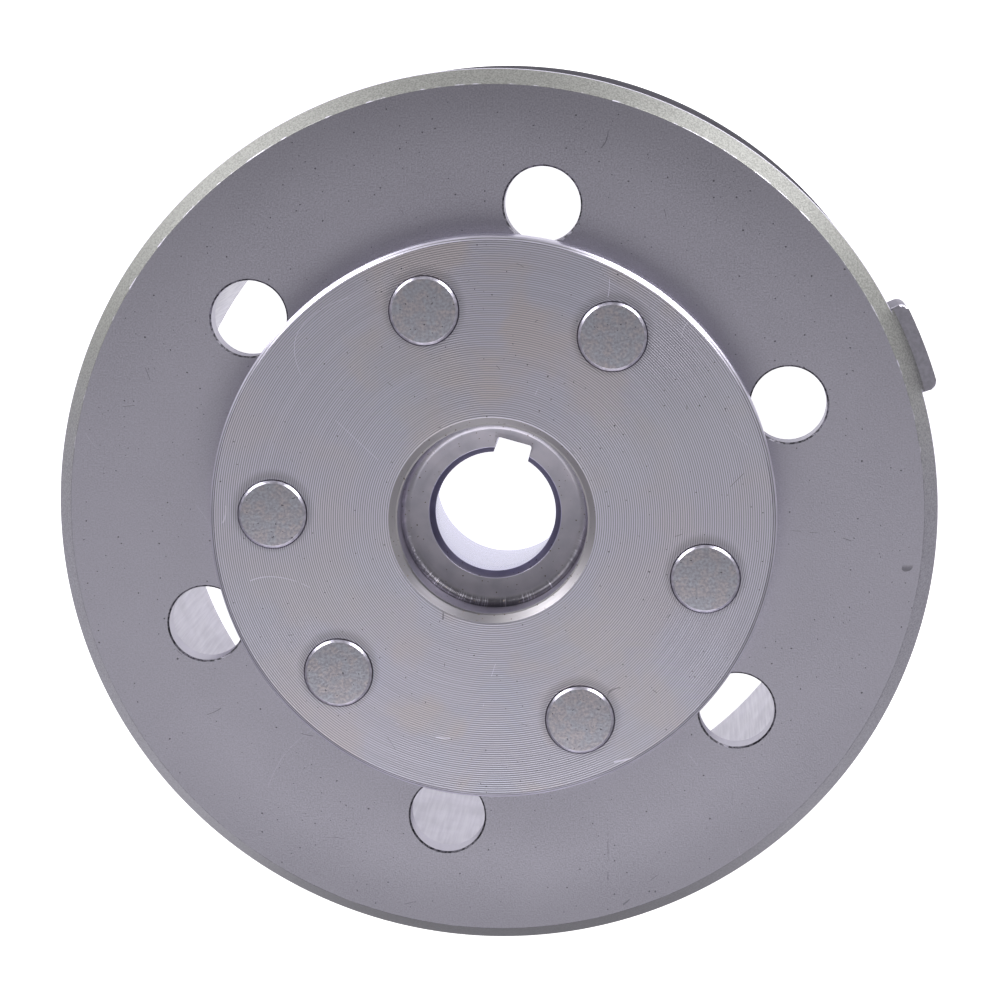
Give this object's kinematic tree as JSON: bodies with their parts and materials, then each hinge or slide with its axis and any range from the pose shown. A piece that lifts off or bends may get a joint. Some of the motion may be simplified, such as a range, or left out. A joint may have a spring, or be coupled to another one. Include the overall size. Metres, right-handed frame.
{
  "type": "flywheel",
  "caption": "Magneto flywheel rotor: bevelled steel cup with vent holes, riveted hub with a keyed taper bore, trigger lug and a ring of arc magnets.",
  "frame": {"origin": "on the axis, level with the outer face of the cup's end plate and inside the nut recess", "axes": "+Z along the axis, out of the closed face towards the crankshaft nut; the open rim faces -Z; the trigger lug is about 22 degrees from +X towards +Y"},
  "size_m": [0.124, 0.124, 0.0423],
  "materials": {
    "cup_steel": "fine satin, phosphated",
    "hub_steel": "turned, bright",
    "rivet_steel": "matt, pressed",
    "magnet_ferrite": "sintered, ground",
    "cage_plastic": "moulded, matt",
    "liner_steel": "smooth, satin"
  },
  "bodies": {
    "root": {"cup_shell": "cup_steel", "hub": "hub_steel", "magnet_cage": "cage_plastic", "inner_liner": "liner_steel", "rivet_1": "rivet_steel", "rivet_2": "rivet_steel", "rivet_3": "rivet_steel", "rivet_4": "rivet_steel", "rivet_5": "rivet_steel", "rivet_6": "rivet_steel", "magnet_01": "magnet_ferrite", "magnet_02": "magnet_ferrite", "magnet_03": "magnet_ferrite", "magnet_04": "magnet_ferrite", "magnet_05": "magnet_ferrite", "magnet_06": "magnet_ferrite", "magnet_07": "magnet_ferrite", "magnet_08": "magnet_ferrite", "magnet_09": "magnet_ferrite", "magnet_10": "magnet_ferrite", "magnet_11": "magnet_ferrite", "magnet_12": "magnet_ferrite"}
  },
  "joints": []
}
